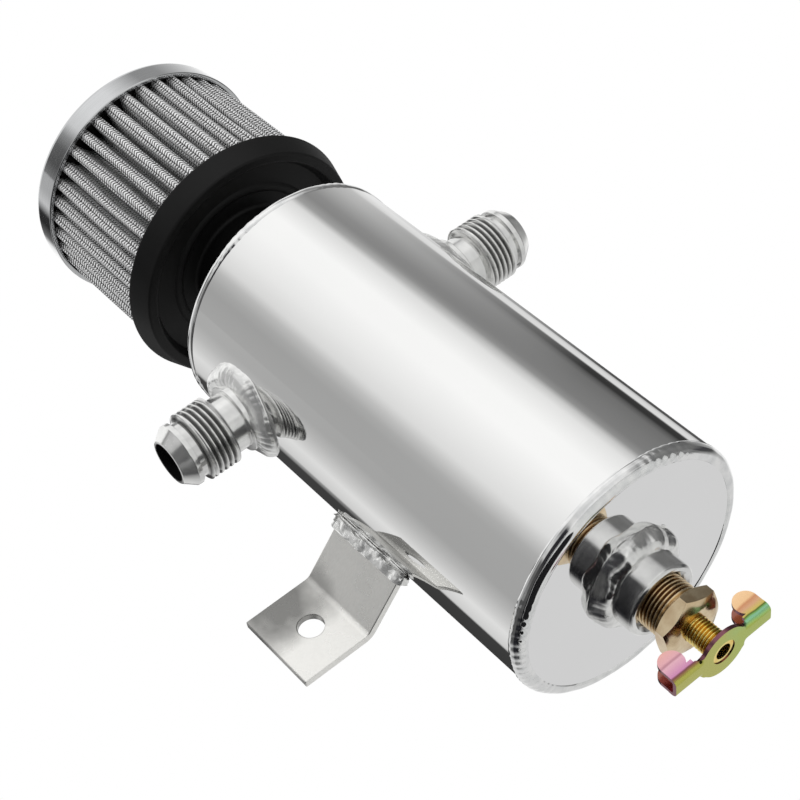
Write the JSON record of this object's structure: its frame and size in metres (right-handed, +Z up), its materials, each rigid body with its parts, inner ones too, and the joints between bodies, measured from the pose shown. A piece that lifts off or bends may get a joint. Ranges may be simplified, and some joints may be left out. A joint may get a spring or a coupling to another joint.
{
  "type": "oil catch can",
  "caption": "Round upright oil catch can with two opposed threaded hose ports, a breather filter on top, a wing-handled drain cock below and a bent side bracket.",
  "frame": {"origin": "middle of the bolt hole in the mounting bracket, half way through the strip", "axes": "+Z up along the tank's axis towards the breather filter, -Y along the bolt hole towards the front, X along the two hose ports"},
  "size_m": [0.1427, 0.0837, 0.2708],
  "materials": {
    "polished_tank": "mirror polished",
    "polished_cap": "mirror polished",
    "weld_metal": "bright as welded, rippled",
    "machined_fitting": "turned",
    "bracket_strip": "satin",
    "baffle_sheet": "mill finish",
    "brass_body": "pale turned brass",
    "brass_stem": "turned brass",
    "seal_rubber": "matte",
    "zinc_wing": "yellow zinc plated",
    "filter_rubber": "moulded, semi-matte",
    "gauze_media": "woven gauze",
    "potting_resin": "cast",
    "chrome_cap": "satin chrome",
    "clamp_steel": "bright stainless"
  },
  "bodies": {
    "tank": {"tank_tube": "polished_tank", "bottom_cap": "polished_cap", "top_cap": "polished_cap", "bottom_rim_weld": "weld_metal", "top_rim_weld": "weld_metal", "port_fitting_left": "machined_fitting", "port_fitting_right": "machined_fitting", "port_weld_left": "weld_metal", "port_weld_right": "weld_metal", "mount_bracket": "bracket_strip", "bracket_weld": "weld_metal", "baffle_plate": "baffle_sheet", "drain_bung": "machined_fitting", "drain_bung_weld": "weld_metal", "drain_cock_body": "brass_body", "filter_neck": "machined_fitting", "neck_weld": "weld_metal", "filter_base": "filter_rubber", "filter_media": "gauze_media", "cap_potting": "potting_resin", "filter_end_cap": "chrome_cap", "clamp_band": "clamp_steel", "clamp_housing": "clamp_steel", "clamp_screw": "clamp_steel"},
    "seal": {"stem_seal": "seal_rubber"},
    "stem": {"drain_stem": "brass_stem", "drain_wing": "zinc_wing"}
  },
  "joints": [
    {"name": "drain_travel", "type": "slide", "parent": "tank", "child": "seal", "axis": [0, 0, -1], "range_m": [0, 0.003]},
    {"name": "drain_turn", "type": "hinge", "parent": "seal", "child": "stem", "pos_m": [0.063, -0.02955, -0.096], "axis": [0, 0, -1], "range_deg": [0, 1080]}
  ],
  "couplings": [
    {"joint": "drain_travel", "follows": "drain_turn", "m_per_rad": 0.00015915}
  ]
}
